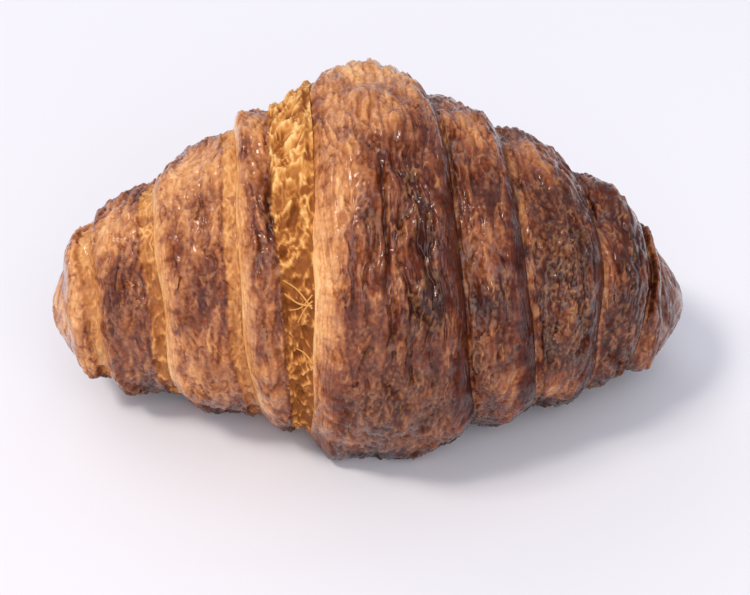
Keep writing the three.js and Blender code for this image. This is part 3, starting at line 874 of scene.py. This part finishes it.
# Each turn: its place, browns, radius and rows of points, then its wrinkled, flaky and darker patches.
# The right turns' browns, their cut edges' most, are deeper than the left's: partly from baking, partly
# painted shade on the right and painted sheen on the left. The lighter patches high on each turn are
# partly their own tone and partly painted sheen.
for name, turns, index, seed, browns, radius_mm, rows_across, wrinkles, flakes, darker in (
    ("left_turn_1", LEFT_TURNS, 1, 41, (0.48, 0.20, -0.16, 0.14), 33, 70,
     [(-22, 50, 4, 20, 0.35)],
     [(-24, 85, 6, 18, 0.4)],
     [(-22.5, 50, 3, 24, 0.16), (-20.6, 28, 1.0, 34, 0.10), (-22, -8, 5, 14, -0.04),
      (-24, 90, 5, 20, -0.22)]),
    ("left_turn_2", LEFT_TURNS, 2, 61, (0.47, 0.15, -0.16, 0.16), 30, 90,
     [(-37, 50, 6, 22, 0.35)],
     [(-37, 66, 8, 14, 0.6)],
     [(-35.2, 27, 4, 13, 0.24), (-37, 60, 5, 8, 0.10), (-38.5, 78, 8, 18, -0.38),
      (-36, -8, 8, 12, -0.06)]),
    ("left_turn_3", LEFT_TURNS, 3, 81, (0.55, 0.30, -0.10, 0.18), 24, 80,
     [(-54, 50, 6, 20, 0.25)],
     [(-53, 20, 5, 12, 0.4)],
     [(-54.8, 24, 6, 15, 0.18), (-55, 66, 7, 18, -0.40), (-52, -8, 6, 10, 0.10),
      (-47.6, 40, 1.6, 60, -0.20)]),
    ("left_turn_4", LEFT_TURNS, 4, 101, (0.26, 0.30, -0.06, 0.16), 18, 52,
     [],
     [(-63, 20, 3, 20, 0.3)],
     [(-62, 40, 2, 60, -0.10)]),
    ("right_turn_1", RIGHT_TURNS, 1, 121, (0.60, 0.90, 0.10, 0.58), 33, 78,
     [(20, 75, 6, 25, 0.4)],
     [(18.5, 44, 4, 7, 0.9), (18, 0, 8, 18, 0.6), (20, 95, 8, 14, 0.5)],
     [(20, 62, 6, 10, 0.14), (18.5, 44, 3.4, 5.5, -0.34), (17.6, 34, 3, 4, -0.14),
      (21, 24, 4, 12, 0.28), (17.5, 0, 6, 12, 0.02), (20, 92, 6, 18, -0.18)]),
    ("right_turn_2", RIGHT_TURNS, 2, 141, (0.78, 0.90, 0.08, 0.50), 29, 86,
     [(34, 70, 5, 16, 0.25)],
     [(38, 34, 7, 30, 1.0), (36, 150, 8, 30, 0.7)],
     [(35.5, 50, 4, 14, 0.08), (33, 6, 6, 9, 0.36), (34, -18, 7, 14, -0.46),
      (35.5, 92, 6, 18, -0.36), (32.4, 60, 1.0, 60, -0.12)]),
    ("right_turn_3", RIGHT_TURNS, 3, 161, (0.84, 0.88, 0.06, 0.50), 23, 66,
     [(53, 30, 8, 70, -0.35)],
     [(53, 30, 8, 80, -1.0)],
     # The first patch here, a narrow lighter strip on the turn's left, is a painted highlight.
     [(49.4, 50, 1.6, 26, -0.46), (55, 40, 3, 22, 0.10), (50, 3, 5, 10, -0.04)]),
    ("right_turn_4", RIGHT_TURNS, 4, 181, (0.66, 0.70, 0.04, 0.50), 17, 44,
     [(62, 30, 8, 70, -0.25)],
     [(62, 30, 8, 80, -1.0)],
     []),
):
    build = one_turn(turns, index, seed, browns, radius_mm, wrinkles, flakes, darker)
    finish_piece(ring_of_dough(name, rows_across, radius_mm, build), crust_baked)


# The horns: past its last cut edge each horn closes in a small blunt tip of tightly wound dough. The left
# one is light, and the right one is dark, partly from baking and partly as painted shade, and is drawn
# out a little longer.
HORN_POINTS_AROUND, HORN_ROWS, HORN_ROWS_BEHIND = 240, 44, 7
HORN_RADIUS, HORN_REAR, START_RADIUS = 12, 6, 0.01
HORN_SINKS, HORN_WRINKLED, HORN_FLAKY = 0.4, 0.15, 0.1


def horn(name, turns, reach, seed, browner, nub):
    """A horn's tip: the front of a ball of points is laid over the tip, and its back closes it inside."""
    around, across = int(HORN_POINTS_AROUND * DENSITY), int(HORN_ROWS * DENSITY)
    behind = HORN_ROWS_BEHIND
    bpy.ops.mesh.primitive_uv_sphere_add(segments=around, ring_count=across + behind, radius=START_RADIUS)
    piece = bpy.context.object
    piece.name = name
    piece.data.name = name
    start = points_of(piece.data)
    ring = np.rint(np.arccos(np.clip(start[:, 2] / START_RADIUS, -1, 1)) / math.pi * (across + behind))
    angle = SEAM + np.arctan2(start[:, 1], start[:, 0]) % (2 * math.pi)
    last = foot_at(turns, len(turns) - 1, angle)
    side = np.sign(turns[0][0])
    from_tip = np.clip(ring / across, 0, 1)
    s = reach * side + (last - side * HIDDEN - reach * side) * from_tip ** 1.5
    arc = angle * HORN_RADIUS
    skin, brown, pale = crust(s, arc, seed, HORN_WRINKLED, HORN_FLAKY + 0 * s)
    turn = -HORN_SINKS * smooth(from_tip * 1.4 - 0.4)
    fade = smooth(from_tip * 5) * off_seam(angle)
    total = turn + 0.8 * fade * skin + broad_relief(s, angle, turn)
    outside = place(s, angle, total, HIDDEN_ABOVE_TABLE * smooth(8 * from_tip - 7))
    outside[:, 0] += side * nub * smooth((0.95 - from_tip) / 0.75)
    rear = last - side * HORN_REAR
    hub = (place(rear, angle, 0 * angle) + place(rear, angle + math.pi, 0 * angle)).mean(axis=0) / 2
    inwards = np.clip((ring - across) / behind, 0, 1)[:, None]
    points = outside + (hub - outside) * inwards
    points[:, 2] = np.maximum(points[:, 2], 0)
    marks = np.zeros((len(points), 4))
    marks[:, 0] = browner + fade * brown + UNDERSIDE_BROWNER * underside(angle)
    marks[:, 3] = pale * fade
    leaf = np.stack([np.abs(s - last), HORN_RADIUS * np.cos(angle), HORN_RADIUS * np.sin(angle)], axis=-1)
    lay_points(piece, points / 1000, marks, leaf)
    return piece


# The right horn's higher brown is partly painted shade.
for name, turns, reach, seed, browner, nub in (
    ("left_horn", LEFT_TURNS, LEFT_REACH, 201, 0.27, 0.0),
    ("right_horn", RIGHT_TURNS, RIGHT_REACH, 221, 0.70, 1.2),
):
    finish_piece(horn(name, turns, reach, seed, browner, nub), crust_baked)


# Strands of dough in the gap beside the lobe, drawn out thin as the two turns parted in the oven, each
# grown fast to the torn skin at its left end and to the lobe's cut edge at its right end. A strand is
# the place and degrees of its left end and of its right end, its thickness, its height and its bow.
STRANDS = [
    (-19.6, 29.0, -14.2, 20.0, 0.06, 1.3, 2.0),
    (-19.4, 24.5, -14.2, 21.0, 0.07, 1.2, -1.5),
    (-18.6, 19.0, -14.1, 24.5, 0.05, 1.1, -2.0),
    (-17.0, 15.0, -14.1, 22.5, 0.06, 1.1, 1.5),
    (-17.4, 5.5, -14.4, 1.0, 0.06, 1.0, 1.5),
]
STRAND_OUT_LEFT, STRAND_OUT_RIGHT = 0.6, 1.0
STRAND_SWELLS_LEFT, STRAND_SWELLS_RIGHT = 2.0, 3.4
STRAND_MARKS = [0.2, 0.0, 1.0, 0.50]
STRAND_ROUNDING, STRAND_STEPS = 3, 14


def joined(pieces, name):
    """Several loose pieces made one, under a new name."""
    for piece in pieces:
        piece.select_set(True)
    bpy.context.view_layer.objects.active = pieces[0]
    bpy.ops.object.join()
    whole = bpy.context.object
    whole.name = whole.data.name = name
    return whole


tubes = []
for from_s, from_degrees, to_s, to_degrees, thick, high, bow in STRANDS:
    bpy.ops.curve.primitive_bezier_curve_add()
    tube = bpy.context.object
    ends = tube.data.splines[0].bezier_points
    for end, s, degrees, out in (
        (ends[0], from_s, from_degrees, STRAND_OUT_LEFT), (ends[1], to_s, to_degrees, STRAND_OUT_RIGHT),
    ):
        end.co = place(np.float64(s), math.radians(degrees), out) / 1000
    middle_degrees = (from_degrees + to_degrees) / 2 + bow
    middle = place(np.float64((from_s + to_s) / 2), math.radians(middle_degrees), high) / 1000
    for end in ends:
        end.handle_left_type = end.handle_right_type = "FREE"
    ends[0].handle_right = ends[1].handle_left = [float(v) for v in middle]
    ends[0].handle_left, ends[1].handle_right = ends[0].co, ends[1].co
    ends[0].radius, ends[1].radius = STRAND_SWELLS_LEFT, STRAND_SWELLS_RIGHT
    tube.data.bevel_depth = thick / 1000
    tube.data.bevel_resolution = STRAND_ROUNDING
    tube.data.resolution_u = STRAND_STEPS
    tube.data.use_fill_caps = True
    bpy.ops.object.convert(target="MESH")
    tubes.append(bpy.context.object)
strands = joined(tubes, "dough_strands")
strand_marks = strands.data.attributes.new("baked", "FLOAT_COLOR", "POINT")
strand_marks.data.foreach_set("color", np.tile(STRAND_MARKS, len(strands.data.vertices)))
face_outwards(strands)
finish_piece(strands, crust_baked)


# Loose flakes: thin curls of the outermost leaf that lifted in the oven, each still held along one side
# and standing free on the other. A flake is its place and degrees, its length, its spread in degrees,
# how far out it lies, how far its free side lifts, and how brown it is.
FLAKE_THICK = 0.00016
FLAKE_STEPS_LONG, FLAKE_STEPS_WIDE = 14, 16
FLAKE_CREASE = math.radians(50)
FLAKES = [
    (-54.5, 31, 8.0, 13, 1.6, 0.7, 0.34), (-50.5, 21, 3.0, 7, 1.5, 0.8, 0.45),
    (-38.0, 58, 3.6, 6, 2.4, 0.9, 0.40), (-34.0, 40, 2.8, 7, 2.4, 0.8, 0.62),
    (-41.5, 30, 2.0, 9, 2.0, 0.7, 0.25), (-24.0, 12, 2.4, 7, 2.6, 0.8, 0.50),
    (-62.5, -34, 3.6, 9, 2.4, 1.4, 0.78), (-1.0, 66, 2.6, 4, 4.4, 0.8, 0.55),
    (5.5, 15, 3.0, 4, 4.0, 0.9, 0.42), (-6.0, -4, 3.2, 4, 4.0, 0.9, 0.48),
    (1.5, -14, 2.6, 4, 4.2, 1.0, 0.40), (9.5, 88, 3.0, 5, 4.2, 0.9, 0.45),
    (19.5, 12, 3.2, 6, 1.9, 0.9, 0.50), (22.0, 54, 2.4, 6, 2.2, 0.7, 0.70),
    (38.5, 30, 3.4, 7, 2.4, 1.0, 0.48), (36.0, 12, 3.0, 6, 2.2, 0.9, 0.55),
    (40.0, 50, 2.4, 7, 2.6, 0.9, 0.52), (34.5, 72, 2.6, 6, 2.6, 0.8, 0.60),
    (51.0, 28, 2.2, 8, 1.8, 0.7, 0.62), (3.0, 150, 4.0, 6, 4.2, 1.0, 0.50),
    (-33.0, 140, 3.2, 8, 2.0, 0.9, 0.45), (33.0, 145, 3.4, 8, 2.0, 0.9, 0.60),
    (-9.0, 125, 3.0, 6, 4.0, 0.9, 0.42), (22.0, 120, 2.6, 7, 2.2, 0.8, 0.58),
]
curls = []
for number, (middle_s, middle_degrees, length, spread, out, lift, browner) in enumerate(FLAKES):
    bpy.ops.mesh.primitive_grid_add(
        x_subdivisions=FLAKE_STEPS_LONG, y_subdivisions=FLAKE_STEPS_WIDE, size=2.0)
    curl = bpy.context.object
    u, v, _ = points_of(curl.data).T
    ragged = 0.72 + 0.40 * ripple(2.2 * np.arctan2(v, u) + 3 * number, 0.5 + 0 * u, 71)
    reach_u, reach_v = u * np.sqrt(1 - v * v / 2) * ragged, v * np.sqrt(1 - u * u / 2) * ragged
    free = (reach_u + 1) / 2
    rise = out - 0.5 + (0.5 + lift) * free ** 1.6 + 0.2 * ripple(2.5 * u, 2.5 * v + number, 72)
    s = middle_s + length / 2 * reach_u * (1 if number % 3 else -1)
    angle = math.radians(middle_degrees) + math.radians(spread / 2) * reach_v
    curl.data.vertices.foreach_set("co", (place(s, angle, rise) / 1000).ravel())
    marks_here = np.zeros((len(u), 4))
    marks_here[:, 0] = browner + 0.18 * ripple(3 * u, 3 * v + number, 73) + 0.10 * free
    marks_here[:, 3] = 0.6 * free
    flake_marks = curl.data.attributes.new("baked", "FLOAT_COLOR", "POINT")
    flake_marks.data.foreach_set("color", marks_here.ravel())
    thickness = curl.modifiers.new("leaf", "SOLIDIFY")
    thickness.thickness = FLAKE_THICK
    thickness.offset = 0
    bpy.ops.object.modifier_apply(modifier=thickness.name)
    curls.append(curl)
loose_flakes = joined(curls, "loose_flakes")
bpy.ops.object.shade_smooth_by_angle(angle=FLAKE_CREASE)
bpy.ops.object.select_all(action="DESELECT")
finish_piece(loose_flakes, crust_baked)
